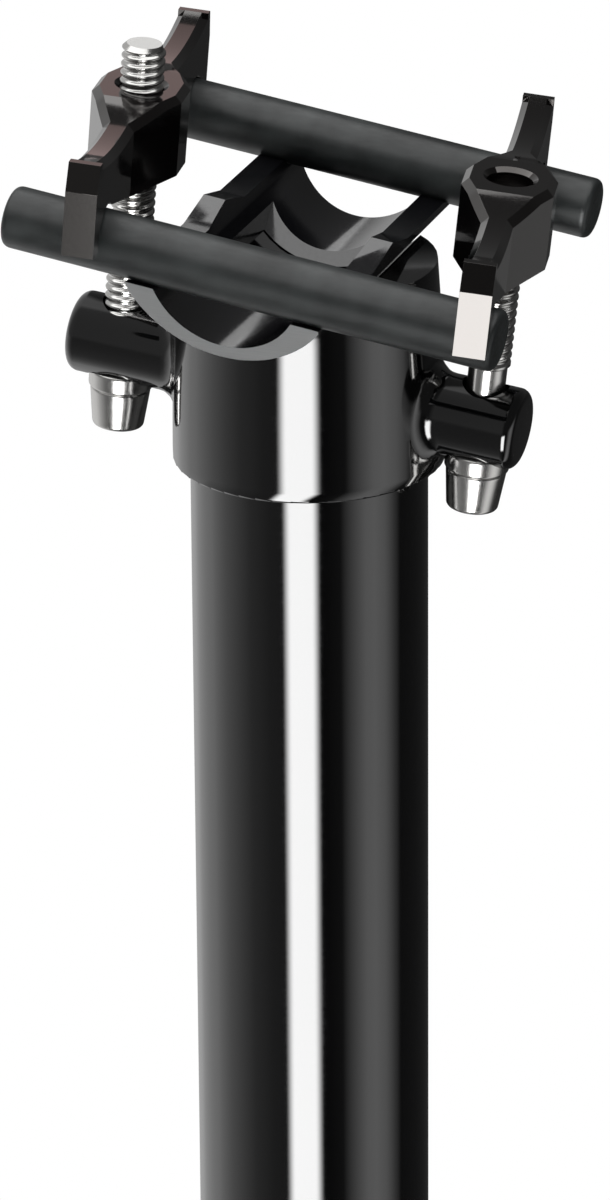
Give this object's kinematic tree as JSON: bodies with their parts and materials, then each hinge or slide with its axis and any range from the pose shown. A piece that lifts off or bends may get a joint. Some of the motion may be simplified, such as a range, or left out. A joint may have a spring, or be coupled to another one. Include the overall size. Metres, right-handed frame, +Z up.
{
  "type": "bicycle seatpost",
  "caption": "Straight round bicycle seatpost with a tilting saddle-rail clamp, its yokes drawn down by bolts through arms before and behind the head.",
  "frame": {"origin": "centre of the post's lower end", "axes": "+Z up the post, +X to the front of the bicycle, +Y to the rider's left"},
  "size_m": [0.0613, 0.0566, 0.3682],
  "materials": {
    "post": "gloss black anodised",
    "cradle": "satin black anodised, grey on the cut ends",
    "rail_blank": "satin dark grey",
    "yoke": "gloss black anodised",
    "bolt": "bright stainless",
    "washer": "bright stainless"
  },
  "bodies": {
    "post": {"post": "post", "rear_bolt": "bolt", "front_bolt": "bolt", "rear_washer": "washer", "front_washer": "washer"},
    "clamp": {"cradle": "cradle", "right_rail_blank": "rail_blank", "left_rail_blank": "rail_blank"},
    "rear_yoke": {"rear_yoke": "yoke"},
    "front_yoke": {"front_yoke": "yoke"}
  },
  "joints": [
    {"name": "clamp_tilt", "type": "hinge", "parent": "post", "child": "clamp", "pos_m": [-0.00048, 0, 0.35361], "axis": [0, 1, 0], "range_deg": [-6, 6]},
    {"name": "rear_yoke_slide", "type": "slide", "parent": "post", "child": "rear_yoke", "axis": [0.0872, 0, 0.9962], "range_m": [-0.0022, 0.0022]},
    {"name": "front_yoke_slide", "type": "slide", "parent": "post", "child": "front_yoke", "axis": [0.1115, 0, 0.9938], "range_m": [-0.0027, 0.0027]}
  ],
  "couplings": [
    {"joint": "rear_yoke_slide", "follows": "clamp_tilt", "m_per_rad": 0.019905},
    {"joint": "front_yoke_slide", "follows": "clamp_tilt", "m_per_rad": -0.024203}
  ]
}
